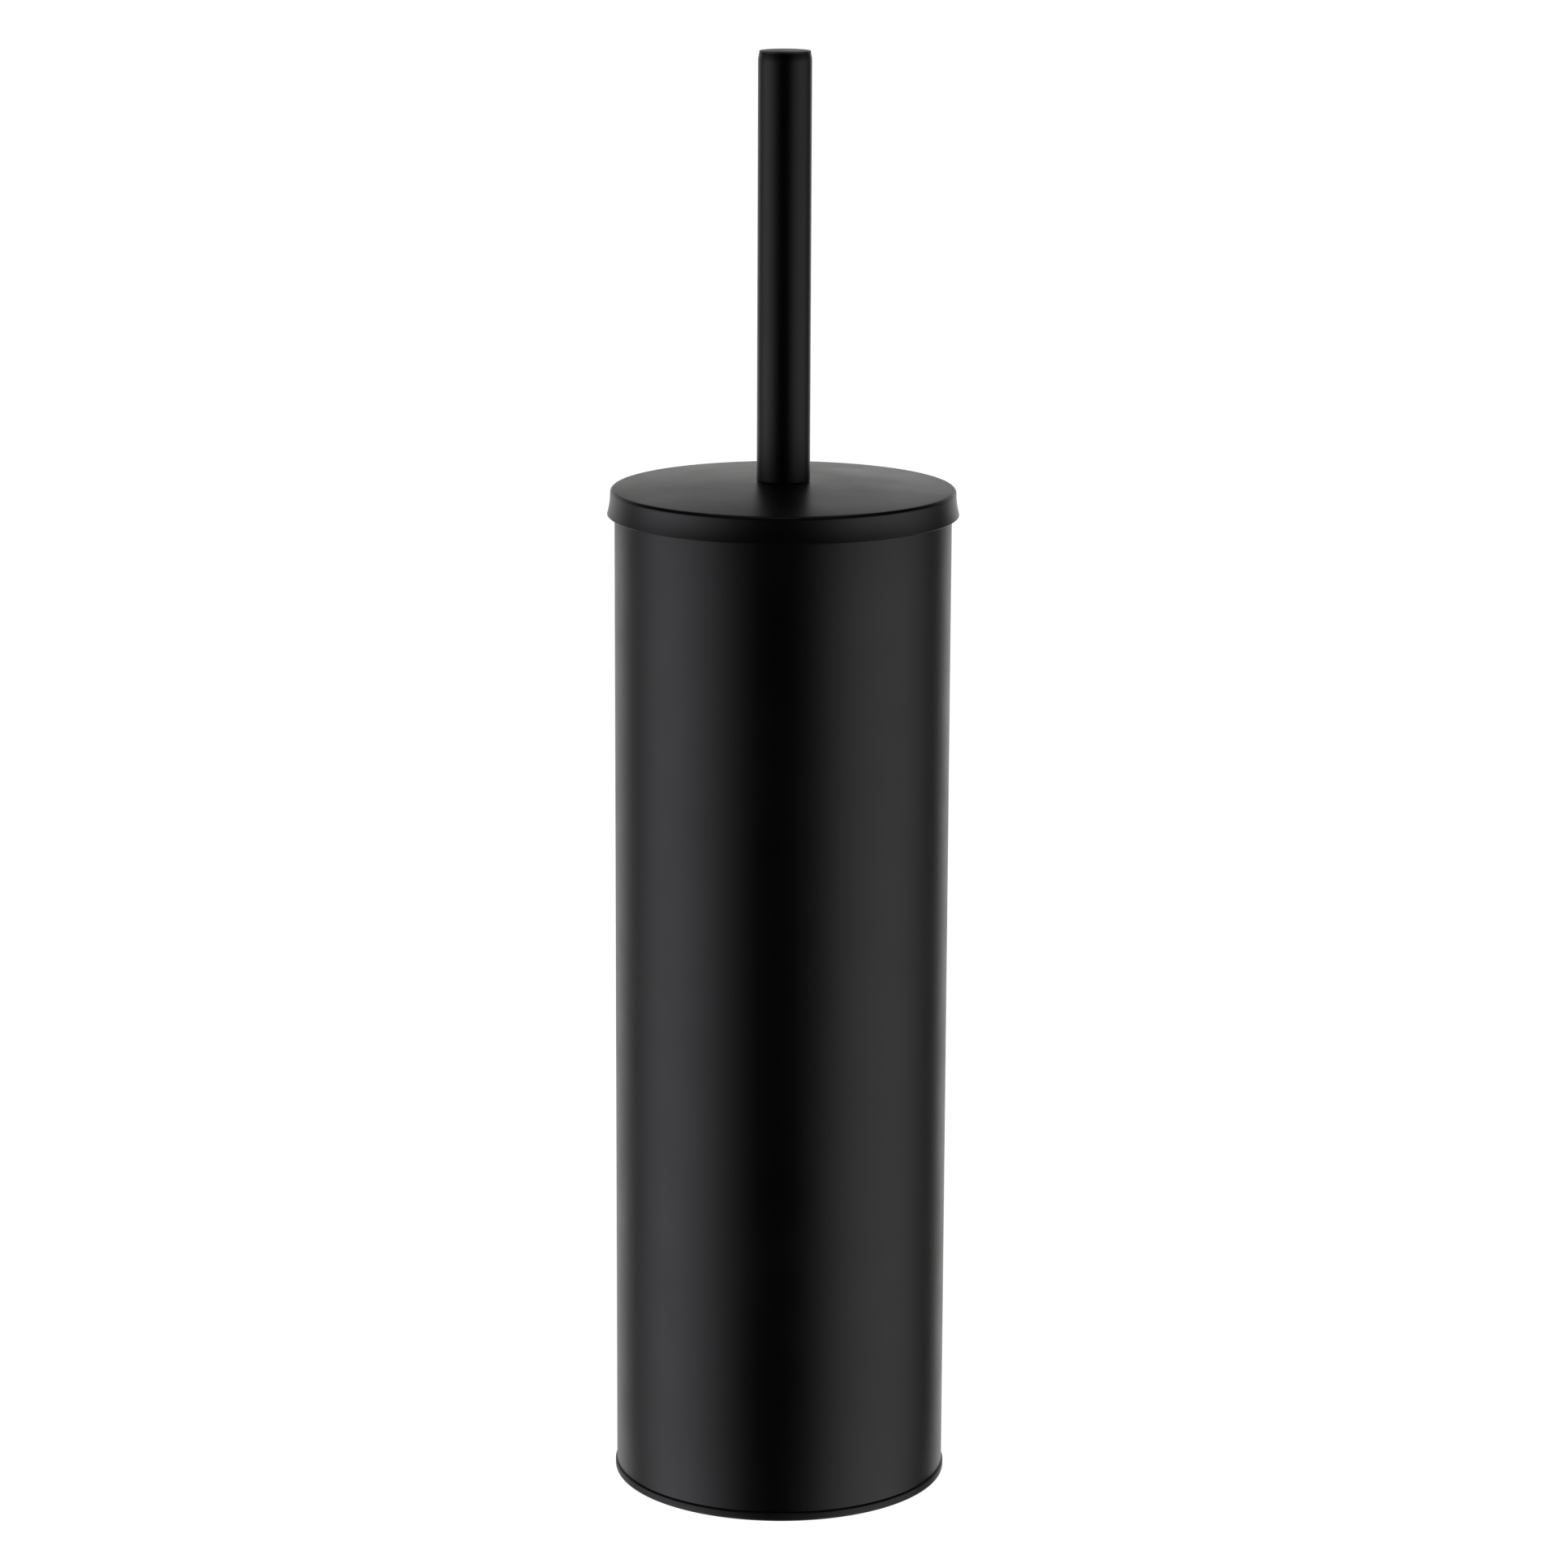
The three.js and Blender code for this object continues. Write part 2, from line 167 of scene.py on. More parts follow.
blackCoat = {
    "color": (0.0014, 0.0014, 0.0016), "cloudColor": (0.0024, 0.0023, 0.0024),
    "wornColor": (0.02, 0.019, 0.018), "fineSize": 0.00055, "broadSize": 0.018, "roughness": 0.36,
    "roughSpread": 0.025, "bump": 0.25, "bumpDepth": 0.00006, "wear": 0.35}
powderCoat = makeMaterial("powderCoat", blackCoat)
handleCoat = makeMaterial("handleCoat", {**blackCoat, "specular": 0.34})
dullCoat = makeMaterial("dullCoat", {
    "color": (0.012, 0.013, 0.011), "cloudColor": (0.018, 0.019, 0.016), "wornColor": (0.04, 0.04, 0.036),
    "fineSize": 0.0004, "broadSize": 0.006, "roughness": 0.42, "roughSpread": 0.04,
    "bump": 0.3, "bumpDepth": 0.00006, "wear": 0.4})
basePlastic = makeMaterial("basePlastic", {
    "color": (0.006, 0.0065, 0.0055), "cloudColor": (0.009, 0.0095, 0.008), "wornColor": (0.04, 0.04, 0.038),
    "fineSize": 0.0004, "broadSize": 0.012, "roughness": 0.46, "roughSpread": 0.05,
    "bump": 0.35, "bumpDepth": 0.00008, "wear": 0.4})
linerPlastic = makeMaterial("linerPlastic", {
    "color": (0.012, 0.012, 0.0135), "cloudColor": (0.017, 0.017, 0.019), "wornColor": (0.05, 0.05, 0.05),
    "fineSize": 0.0006, "broadSize": 0.03, "roughness": 0.38, "roughSpread": 0.06,
    "bump": 0.3, "bumpDepth": 0.00006, "wear": 0.3})
softRubber = makeMaterial("softRubber", {
    "color": (0.009, 0.009, 0.009), "cloudColor": (0.014, 0.014, 0.013), "wornColor": (0.05, 0.05, 0.048),
    "fineSize": 0.0003, "broadSize": 0.006, "roughness": 0.78, "roughSpread": 0.08,
    "bump": 0.5, "bumpDepth": 0.0001, "wear": 0.5})
plainSteel = makeMaterial("plainSteel", {
    "color": (0.56, 0.56, 0.54), "cloudColor": (0.66, 0.66, 0.63), "wornColor": (0.8, 0.8, 0.78),
    "fineSize": 0.0005, "broadSize": 0.004, "roughness": 0.3, "roughSpread": 0.08, "stretch": (1, 1, 12),
    "bump": 0.2, "bumpDepth": 0.00003, "wear": 0.6, "metallic": 1})
nylon = makeMaterial("nylon", {
    "color": (0.66, 0.62, 0.53), "cloudColor": (0.74, 0.71, 0.62), "wornColor": (0.85, 0.83, 0.78),
    "fineSize": 0.0006, "broadSize": 0.006, "roughness": 0.48, "roughSpread": 0.06,
    "bump": 0.25, "bumpDepth": 0.00006, "wear": 0.4})
hubPlastic = makeMaterial("hubPlastic", {
    "color": (0.01, 0.01, 0.011), "cloudColor": (0.015, 0.015, 0.016), "wornColor": (0.05, 0.05, 0.05),
    "fineSize": 0.0005, "broadSize": 0.01, "roughness": 0.34, "roughSpread": 0.06,
    "bump": 0.25, "bumpDepth": 0.00006, "wear": 0.4})
bristleNylon = makeMaterial("bristleNylon", {
    "color": (0.011, 0.011, 0.012), "cloudColor": (0.02, 0.02, 0.021), "wornColor": (0.05, 0.05, 0.05),
    "fineSize": 0.0008, "broadSize": 0.004, "roughness": 0.42, "roughSpread": 0.08,
    "bump": 0.1, "bumpDepth": 0.00002, "wear": 0.2})
print("materials made")


def arcPoints(r, z, radius, start, end, steps):
    return [(r + radius * math.cos(a), z + radius * math.sin(a))
            for a in (degree * (start + (end - start) * i / steps) for i in range(steps + 1))]


def offsetLine(line, wall):
    moved = []
    for i, p in enumerate(line):
        before, after = Vector(line[max(i - 1, 0)]), Vector(line[min(i + 1, len(line) - 1)])
        along = (after - before).normalized()
        moved.append((p[0] + along.y * wall, p[1] - along.x * wall))
    return moved


# How sharply an outline turns outwards at each point: 0 on a flat, 1 on an edge as tight as tightRadius.
def edgeShares(outline, closed, tightRadius=0.5 * mm):
    count = len(outline)
    area = sum(outline[i][0] * outline[(i + 1) % count][1] - outline[(i + 1) % count][0] * outline[i][1]
               for i in range(count))
    shares = []
    for i, p in enumerate(outline):
        before, after = outline[i - 1], outline[(i + 1) % count]
        if not closed and i in (0, count - 1):
            shares.append(0.0)
            continue
        a, b = Vector(p) - Vector(before), Vector(after) - Vector(p)
        turn = math.atan2(a.x * b.y - a.y * b.x, a.dot(b)) * (1 if area > 0 else -1)
        bend = turn / max(0.5 * (a.length + b.length), tiny)
        shares.append(min(max(bend * tightRadius, 0.0), 1.0))
    return shares


def finishTree(tree, geometry, material):
    real = addNode(tree, "GeometryNodeRealizeInstances", {"Geometry": geometry})
    painted = addNode(tree, "GeometryNodeSetMaterial",
                      {"Geometry": real.outputs["Geometry"], "Material": material})
    addNode(tree, "NodeGroupOutput", {"Geometry": painted.outputs["Geometry"]})


# Turns an outline mesh of radius and height about Z, with Sides columns and a row for each of its points.
def makeTurnTree():
    tree = bpy.data.node_groups.new("turnOutline", "GeometryNodeTree")
    addSockets(tree, "INPUT", [("Geometry", "Geometry", None), ("Sides", "Int", 192),
                               ("Material", "Material", None)])
    addSockets(tree, "OUTPUT", [("Geometry", "Geometry", None)])
    start = addNode(tree, "NodeGroupInput")
    rows = addNode(tree, "GeometryNodeAttributeDomainSize", {"Geometry": start.outputs["Geometry"]})
    rows = rows.outputs["Point Count"]
    columns = calc(tree, "ADD", start.outputs["Sides"], 1)
    grid = addNode(tree, "GeometryNodeMeshGrid", {"Vertices X": columns, "Vertices Y": rows}).outputs["Mesh"]
    index = addNode(tree, "GeometryNodeInputIndex").outputs["Index"]
    row = calc(tree, "ROUND", calc(tree, "MODULO", index, rows))
    column = calc(tree, "FLOOR", calc(tree, "DIVIDE", calc(tree, "ADD", index, 0.5), rows))
    angle = calc(tree, "MULTIPLY", calc(tree, "DIVIDE", column, start.outputs["Sides"]), 2 * math.pi)
    position = addNode(tree, "GeometryNodeInputPosition").outputs["Position"]
    sampled = addNode(tree, "GeometryNodeSampleIndex",
                      {"Geometry": start.outputs["Geometry"], "Index": row}, data_type="FLOAT_VECTOR")
    tree.links.new(position, sampled.inputs["Value"])
    parts = addNode(tree, "ShaderNodeSeparateXYZ", {"Vector": sampled.outputs["Value"]})
    place = addNode(tree, "ShaderNodeCombineXYZ",
                    {"X": calc(tree, "MULTIPLY", parts.outputs["X"], calc(tree, "COSINE", angle)),
                     "Y": calc(tree, "MULTIPLY", parts.outputs["X"], calc(tree, "SINE", angle)),
                     "Z": parts.outputs["Z"]})
    placed = addNode(tree, "GeometryNodeSetPosition", {"Geometry": grid, "Position": place.outputs["Vector"]})
    edge = addNode(tree, "GeometryNodeInputNamedAttribute", {"Name": "edge"}, data_type="FLOAT")
    edgeSampled = addNode(tree, "GeometryNodeSampleIndex",
                          {"Geometry": start.outputs["Geometry"], "Index": row}, data_type="FLOAT")
    tree.links.new(edge.outputs["Attribute"], edgeSampled.inputs["Value"])
    stored = addNode(tree, "GeometryNodeStoreNamedAttribute",
                     {"Geometry": placed.outputs["Geometry"], "Name": "edge",
                      "Value": edgeSampled.outputs["Value"]}, data_type="FLOAT", domain="POINT")
    merged = addNode(tree, "GeometryNodeMergeByDistance",
                     {"Geometry": stored.outputs["Geometry"], "Distance": tiny})
    finishTree(tree, merged.outputs["Geometry"], start.outputs["Material"])
    return tree


# Cuts grooves into a turned surface: along the axis for flutes, or with Lead as a right-handed thread.
def makeGrooveTree():
    tree = bpy.data.node_groups.new("cutGrooves", "GeometryNodeTree")
    addSockets(tree, "INPUT", [("Geometry", "Geometry", None), ("Around", "Float", 12.0),
                               ("Lead", "Float", 0.0), ("Depth", "Float", 0.001), ("Share", "Float", 0.6),
                               ("Bottom", "Float", 0.0), ("Top", "Float", 0.01), ("Fade", "Float", 0.001),
                               ("Least Radius", "Float", 0.0), ("Material", "Material", None)])
    addSockets(tree, "OUTPUT", [("Geometry", "Geometry", None)])
    start = addNode(tree, "NodeGroupInput")
    position = addNode(tree, "GeometryNodeInputPosition").outputs["Position"]
    x, y, z = addNode(tree, "ShaderNodeSeparateXYZ", {"Vector": position}).outputs
    radius = calc(tree, "SQRT", calc(tree, "ADD", calc(tree, "MULTIPLY", x, x), calc(tree, "MULTIPLY", y, y)))
    turn = calc(tree, "DIVIDE", calc(tree, "ARCTAN2", y, x), 2 * math.pi)
    climb = calc(tree, "MULTIPLY", z, start.outputs["Lead"])
    around = calc(tree, "MULTIPLY", turn, start.outputs["Around"])
    phase = calc(tree, "FRACT", calc(tree, "ADD", around, climb))
    away = calc(tree, "ABSOLUTE", calc(tree, "SUBTRACT", calc(tree, "MULTIPLY", phase, 2), 1))
    share = start.outputs["Share"]
    flat = calc(tree, "MULTIPLY", share, 0.3)
    faded = ramp(tree, away, share, flat)
    for level, way in (("Bottom", "ADD"), ("Top", "SUBTRACT")):
        edge = start.outputs[level]
        near = ramp(tree, z, edge, calc(tree, way, edge, start.outputs["Fade"]))
        faded = calc(tree, "MULTIPLY", faded, near)
    outside = calc(tree, "GREATER_THAN", radius, start.outputs["Least Radius"])
    inward = calc(tree, "MULTIPLY", calc(tree, "MULTIPLY", faded, outside), start.outputs["Depth"])
    pull = calc(tree, "DIVIDE", calc(tree, "MULTIPLY", inward, -1), calc(tree, "MAXIMUM", radius, tiny))
    offset = addNode(tree, "ShaderNodeCombineXYZ",
                     {"X": calc(tree, "MULTIPLY", x, pull), "Y": calc(tree, "MULTIPLY", y, pull)})
    cut = addNode(tree, "GeometryNodeSetPosition",
                  {"Geometry": start.outputs["Geometry"], "Offset": offset.outputs["Vector"]})
    finishTree(tree, cut.outputs["Geometry"], start.outputs["Material"])
    return tree


# Adds ribs that run outwards on a floor, narrower at their upper edge.
def makeRibTree():
    tree = bpy.data.node_groups.new("floorRibs", "GeometryNodeTree")
    addSockets(tree, "INPUT", [("Geometry", "Geometry", None), ("Count", "Int", 6),
                               ("Bore", "Float", 0.008), ("Reach", "Float", 0.04),
                               ("Width", "Float", 0.0014), ("Height", "Float", 0.0012),
                               ("Bottom", "Float", 0.0), ("Draft", "Float", 0.3),
                               ("Material", "Material", None)])
    addSockets(tree, "OUTPUT", [("Geometry", "Geometry", None)])
    start = addNode(tree, "NodeGroupInput")
    block = addNode(tree, "GeometryNodeMeshCube", {"Size": (1, 1, 1)}).outputs["Mesh"]
    position = addNode(tree, "GeometryNodeInputPosition").outputs["Position"]
    x, y, z = addNode(tree, "ShaderNodeSeparateXYZ", {"Vector": position}).outputs
    pull = calc(tree, "MULTIPLY", calc(tree, "ADD", z, 0.5), start.outputs["Draft"])
    narrowed = addNode(tree, "ShaderNodeCombineXYZ",
                       {"X": x, "Y": calc(tree, "MULTIPLY", y, calc(tree, "SUBTRACT", 1, pull)), "Z": z})
    rib = addNode(tree, "GeometryNodeSetPosition",
                  {"Geometry": block, "Position": narrowed.outputs["Vector"]})
    index = addNode(tree, "GeometryNodeInputIndex").outputs["Index"]
    step = calc(tree, "DIVIDE", 2 * math.pi, start.outputs["Count"])
    angle = calc(tree, "MULTIPLY", calc(tree, "ADD", index, 0.5), step)
    middle = calc(tree, "MULTIPLY", calc(tree, "ADD", start.outputs["Bore"], start.outputs["Reach"]), 0.5)
    level = calc(tree, "ADD", start.outputs["Bottom"], calc(tree, "MULTIPLY", start.outputs["Height"], 0.5))
    place = addNode(tree, "ShaderNodeCombineXYZ",
                    {"X": calc(tree, "MULTIPLY", middle, calc(tree, "COSINE", angle)),
                     "Y": calc(tree, "MULTIPLY", middle, calc(tree, "SINE", angle)), "Z": level})
    points = addNode(tree, "GeometryNodePoints",
                     {"Count": start.outputs["Count"], "Position": place.outputs["Vector"]})
    turn = addNode(tree, "ShaderNodeCombineXYZ", {"Z": angle})
    turned = addNode(tree, "FunctionNodeEulerToRotation", {"Euler": turn.outputs["Vector"]})
    size = addNode(tree, "ShaderNodeCombineXYZ",
                   {"X": calc(tree, "SUBTRACT", start.outputs["Reach"], start.outputs["Bore"]),
                    "Y": start.outputs["Width"], "Z": start.outputs["Height"]})
    ribs = addNode(tree, "GeometryNodeInstanceOnPoints",
                   {"Points": points.outputs["Points"], "Instance": rib.outputs["Geometry"],
                    "Rotation": turned.outputs["Rotation"], "Scale": size.outputs["Vector"]})
    joined = addNode(tree, "GeometryNodeJoinGeometry")
    tree.links.new(ribs.outputs["Instances"], joined.inputs["Geometry"])
    tree.links.new(start.outputs["Geometry"], joined.inputs["Geometry"])
    finishTree(tree, joined.outputs["Geometry"], start.outputs["Material"])
    return tree


# Adds rows of tufts round a core. Each filament runs from its root to a tip that fans out of the tuft.
def makeBristleTree():
    tree = bpy.data.node_groups.new("bristleTufts", "GeometryNodeTree")
    addSockets(tree, "INPUT", [("Geometry", "Geometry", None), ("Rows", "Int", 8), ("Tufts", "Int", 26),
                               ("Filaments", "Int", 20), ("Root Radius", "Float", 0.012),
                               ("Tip Radius", "Float", 0.037), ("Top", "Float", 0.1),
                               ("Pitch", "Float", 0.0075), ("Drop", "Float", 0.0),
                               ("Root Spread", "Float", 0.001),
                               ("Tip Spread", "Vector", (0.001, 0.003, 0.003)), ("Stray", "Float", 0.0006),
                               ("Thickness", "Float", 0.0004), ("Crimp", "Float", 0.0006),
                               ("Crimp Size", "Float", 0.004), ("Seed", "Int", 1),
                               ("Material", "Material", None)])
    addSockets(tree, "OUTPUT", [("Geometry", "Geometry", None)])
    start = addNode(tree, "NodeGroupInput")
    want = start.outputs

    line = addNode(tree, "GeometryNodeCurvePrimitiveLine", {"Start": (0, 0, 0), "End": (0, 0, 1)})
    line = addNode(tree, "GeometryNodeResampleCurve", {"Curve": line.outputs["Curve"], "Count": 5})
    section = addNode(tree, "GeometryNodeCurvePrimitiveCircle", {"Resolution": 3, "Radius": 0.5})
    filament = addNode(tree, "GeometryNodeCurveToMesh",
                       {"Curve": line.outputs["Curve"], "Profile Curve": section.outputs["Curve"],
                        "Fill Caps": True}).outputs["Mesh"]
    position = addNode(tree, "GeometryNodeInputPosition").outputs["Position"]
    height = addNode(tree, "ShaderNodeSeparateXYZ", {"Vector": position}).outputs["Z"]
    filament = addNode(tree, "GeometryNodeStoreNamedAttribute",
                       {"Geometry": filament, "Name": "reach", "Value": height},
                       data_type="FLOAT", domain="POINT")

    index = addNode(tree, "GeometryNodeInputIndex").outputs["Index"]
    perRow = calc(tree, "MULTIPLY", want["Tufts"], want["Filaments"])
    row = calc(tree, "FLOOR", calc(tree, "DIVIDE", calc(tree, "ADD", index, 0.5), perRow))
    inRow = calc(tree, "SUBTRACT", index, calc(tree, "MULTIPLY", row, perRow))
    tuft = calc(tree, "FLOOR", calc(tree, "DIVIDE", calc(tree, "ADD", inRow, 0.5), want["Filaments"]))
    stagger = calc(tree, "ADD", tuft, calc(tree, "MULTIPLY", row, 0.5))
    angle = calc(tree, "DIVIDE", calc(tree, "MULTIPLY", stagger, 2 * math.pi), want["Tufts"])
    level = calc(tree, "SUBTRACT", want["Top"], calc(tree, "MULTIPLY", row, want["Pitch"]))

    def chance(low, high, shift, kind):
        seed = calc(tree, "ADD", want["Seed"], shift)
        return addNode(tree, "FunctionNodeRandomValue", {"ID": index, "Seed": seed, "Min": low, "Max": high},
                       data_type=kind).outputs["Value"]

    heading = vectorCalc(tree, "NORMALIZE", chance((-1, -1, -1), (1, 1, 1), 0, "FLOAT_VECTOR"))
    spread = scaled(tree, heading, calc(tree, "SQRT", chance(0.0, 1.0, 100, "FLOAT")))
    stray = scaled(tree, chance((-1, -1, -1), (1, 1, 1), 200, "FLOAT_VECTOR"), want["Stray"])
    rootMiddle = addNode(tree, "ShaderNodeCombineXYZ", {"X": want["Root Radius"], "Z": level})
    tipLevel = calc(tree, "SUBTRACT", level, want["Drop"])
    tipMiddle = addNode(tree, "ShaderNodeCombineXYZ", {"X": want["Tip Radius"], "Z": tipLevel})
    root = vectorCalc(tree, "ADD", rootMiddle.outputs["Vector"], scaled(tree, spread, want["Root Spread"]))
    fanned = vectorCalc(tree, "MULTIPLY", spread, want["Tip Spread"])
    tip = vectorCalc(tree, "ADD", tipMiddle.outputs["Vector"], fanned)
    tip = vectorCalc(tree, "ADD", tip, stray)

    def swung(vector):
        return addNode(tree, "ShaderNodeVectorRotate", {"Vector": vector, "Angle": angle},
                       rotation_type="Z_AXIS").outputs["Vector"]

    root, tip = swung(root), swung(tip)
    run = vectorCalc(tree, "SUBTRACT", tip, root)
    length = addNode(tree, "ShaderNodeVectorMath", operation="LENGTH")
    tree.links.new(run, length.inputs[0])
    points = addNode(tree, "GeometryNodePoints",
                     {"Count": calc(tree, "MULTIPLY", perRow, want["Rows"]), "Position": root})
    aimed = addNode(tree, "FunctionNodeAlignRotationToVector", {"Vector": run}, axis="Z")
    size = addNode(tree, "ShaderNodeCombineXYZ",
                   {"X": want["Thickness"], "Y": want["Thickness"], "Z": length.outputs["Value"]})
    tufts = addNode(tree, "GeometryNodeInstanceOnPoints",
                    {"Points": points.outputs["Points"], "Instance": filament.outputs["Geometry"],
                     "Rotation": aimed.outputs["Rotation"], "Scale": size.outputs["Vector"]})
    real = addNode(tree, "GeometryNodeRealizeInstances", {"Geometry": tufts.outputs["Instances"]})
    waves = addNode(tree, "ShaderNodeTexNoise",
                    {"Vector": position, "Scale": calc(tree, "DIVIDE", 1, want["Crimp Size"]), "Detail": 1.0})
    sway = vectorCalc(tree, "SUBTRACT", waves.outputs["Color"], (0.5, 0.5, 0.5))
    reach = addNode(tree, "GeometryNodeInputNamedAttribute", {"Name": "reach"}, data_type="FLOAT")
    bend = calc(tree, "MULTIPLY", calc(tree, "MULTIPLY", reach.outputs["Attribute"], want["Crimp"]), 2)
    crimped = addNode(tree, "GeometryNodeSetPosition",
                      {"Geometry": real.outputs["Geometry"], "Offset": scaled(tree, sway, bend)})
    joined = addNode(tree, "GeometryNodeJoinGeometry")
    tree.links.new(crimped.outputs["Geometry"], joined.inputs["Geometry"])
    tree.links.new(want["Geometry"], joined.inputs["Geometry"])
    finishTree(tree, joined.outputs["Geometry"], want["Material"])
    return tree


turnTree = makeTurnTree()
grooveTree = makeGrooveTree()
ribTree = makeRibTree()
bristleTree = makeBristleTree()


def addModifier(piece, tree, values):
    modifier = piece.modifiers.new(tree.name, "NODES")
    modifier.node_group = tree
    sockets = {item.name: item.identifier for item in tree.interface.items_tree
               if item.item_type == "SOCKET" and item.in_out == "INPUT"}
    for name, value in values.items():
        modifier[sockets[name]] = value


# Swaps the piece's live modifiers for the plain mesh that they make.
def applyModifiers(piece, sharpAngle=35, leastEdge=1e-7):
    shapes = bpy.context.evaluated_depsgraph_get()
    plain = bpy.data.meshes.new_from_object(piece.evaluated_get(shapes))
    plain.name = piece.name
    piece.modifiers.clear()
    piece.data = plain
    shaped = bmesh.new()
    shaped.from_mesh(plain)
    bmesh.ops.dissolve_degenerate(shaped, dist=leastEdge, edges=shaped.edges)
    bmesh.ops.recalc_face_normals(shaped, faces=shaped.faces)
    if shaped.calc_volume(signed=True) < 0:
        bmesh.ops.reverse_faces(shaped, faces=shaped.faces)
    shaped.to_mesh(plain)
    shaped.free()
    plain.shade_smooth()
    plain.set_sharp_from_angle(angle=sharpAngle * degree)
    return piece


def newPiece(name, mesh):
    piece = bpy.data.objects.new(name, mesh)
    bpy.context.scene.collection.objects.link(piece)
    return piece


def turnPiece(name, outline, material, sides=192, closed=True, sharpAngle=35, cuts=()):
    points = list(outline)
    shares = edgeShares(points, closed)
    if closed:
        points.append(points[0])
        shares.append(shares[0])
    line = bpy.data.meshes.new(name + "Outline")
    line.from_pydata([(r, 0, z) for r, z in points], [(i, i + 1) for i in range(len(points) - 1)], [])
    line.attributes.new("edge", "FLOAT", "POINT").data.foreach_set("value", shares)
    piece = newPiece(name, line)
    addModifier(piece, turnTree, {"Sides": sides, "Material": material})
    for tree, values in cuts:
        addModifier(piece, tree, {**values, "Material": material})
    return applyModifiers(piece, sharpAngle)


# Puts a finished piece in place of its CAD nodes, on their body.
def standIn(piece, body, slot, *nodes):
    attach(piece, body)
    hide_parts(*nodes)


tubeLow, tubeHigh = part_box("body_tube")
tube = {"radius": tubeHigh.x, "wall": 0.6 * mm, "hemWall": 1.4 * mm, "hemDepth": 6 * mm, "edge": 0.15 * mm,
        "rows": 12}


def makeBodyTube():
    r, wall, edge = tube["radius"], tube["wall"], tube["edge"]
    bottom, top = tubeLow.z, tubeHigh.z
    fold = tube["hemWall"] / 2
    hemBore = r - tube["hemWall"]
    lap = wall / 2
    outline = [(r - wall, bottom + edge)]
    outline += arcPoints(r - wall + edge, bottom + edge, edge, 180, 270, 3)[1:]
    outline += arcPoints(r - edge, bottom + edge, edge, 270, 360, 4)
    outline += [(r, bottom + (top - bottom) * i / tube["rows"]) for i in range(1, tube["rows"])]
    outline += arcPoints(r - fold, top - fold, fold, 0, 180, 12)
    outline += [(hemBore, top - tube["hemDepth"] + lap)]
    outline += arcPoints(hemBore + lap, top - tube["hemDepth"] + lap, lap, 180, 270, 4)[1:]
    outline += [(r - wall, top - tube["hemDepth"])]
    return turnPiece("bodyTube", outline, powderCoat, sides=256)


standIn(makeBodyTube(), "holder", "coated_steel", "body_tube")


baseLow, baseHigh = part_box("base_cap")
ringLow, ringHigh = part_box("nonslip_ring")
base = {"lipRadius": baseHigh.x, "lipHeight": 2.45 * mm, "upperEdge": 0.45 * mm, "lowerEdge": 0.8 * mm,
        "floor": 2.4 * mm, "floorCorner": 1 * mm, "spigotWall": 1.6 * mm, "spigotEdge": 0.4 * mm,
        "boreEdge": 0.3 * mm, "gap": 0.1 * mm, "ringWidth": 7 * mm, "ringEdge": 0.3 * mm,
        "hollow": 0.6 * mm, "hollowRadius": 16 * mm, "ribs": 6, "ribWidth": 1.4 * mm, "ribHeight": 1.2 * mm,
        "ribBore": 8 * mm, "ribBite": 0.3 * mm}


def makeBaseCap():
    r, upper, lower = base["lipRadius"], base["upperEdge"], base["lowerEdge"]
    bottom, lipTop = baseLow.z, baseLow.z + base["lipHeight"]
    spigot = tube["radius"] - tube["wall"] - base["gap"]
    bore = spigot - base["spigotWall"]
    floorTop = bottom + base["floor"]
    grooveOuter, grooveInner = ringHigh.x + base["gap"], ringHigh.x - base["ringWidth"] - base["gap"]
    grooveTop = ringHigh.z + base["gap"]
    hollow, hollowRadius = base["hollow"], base["hollowRadius"]
    outline = [(0, bottom + hollow), (hollowRadius, bottom + hollow)]
    outline += [(hollowRadius + hollow, bottom), (grooveInner, bottom), (grooveInner, grooveTop)]
    outline += [(grooveOuter, grooveTop), (grooveOuter, bottom)]
    outline += arcPoints(r - lower, bottom + lower, lower, 270, 360, 8)
    outline += arcPoints(r - upper, lipTop - upper, upper, 0, 90, 8)
    spigotEdge, boreEdge, corner = base["spigotEdge"], base["boreEdge"], base["floorCorner"]
    outline += [(spigot, lipTop), (spigot, baseHigh.z - spigotEdge), (spigot - spigotEdge, baseHigh.z)]
    outline += [(bore + boreEdge, baseHigh.z), (bore, baseHigh.z - boreEdge)]
    outline += arcPoints(bore - corner, floorTop + corner, corner, 0, -90, 6)
    outline += [(0, floorTop)]
    bite = base["ribBite"]
    ribs = {"Count": base["ribs"], "Bore": base["ribBore"], "Reach": bore + bite, "Width": base["ribWidth"],
            "Height": base["ribHeight"] + bite, "Bottom": floorTop - bite}
    return turnPiece("baseCap", outline, basePlastic, sides=256, closed=False, cuts=[(ribTree, ribs)])


standIn(makeBaseCap(), "holder", "base_plastic", "base_cap")


def makeNonslipRing():
    outer, inner = ringHigh.x, ringHigh.x - base["ringWidth"]
    bottom, top, edge = ringLow.z, ringHigh.z, base["ringEdge"]
    outline = [(inner, top), (inner, bottom + edge), (inner + edge, bottom)]
    outline += [(outer - edge, bottom), (outer, bottom + edge), (outer, top)]
    return turnPiece("nonslipRing", outline, softRubber, sides=192)


standIn(makeNonslipRing(), "holder", "soft_rubber", "nonslip_ring")
print("holder made")


linerLow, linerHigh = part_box("inner_liner")
liner = {"wall": 1.2 * mm, "floor": 1.4 * mm, "draft": 1.2 * mm, "corner": 5 * mm, "flange": 1.2 * mm,
         "mouth": tube["radius"] - tube["hemWall"] - 0.6 * mm, "rim": 0.35 * mm, "crown": 1.2 * mm,
         "crownRadius": 14 * mm}


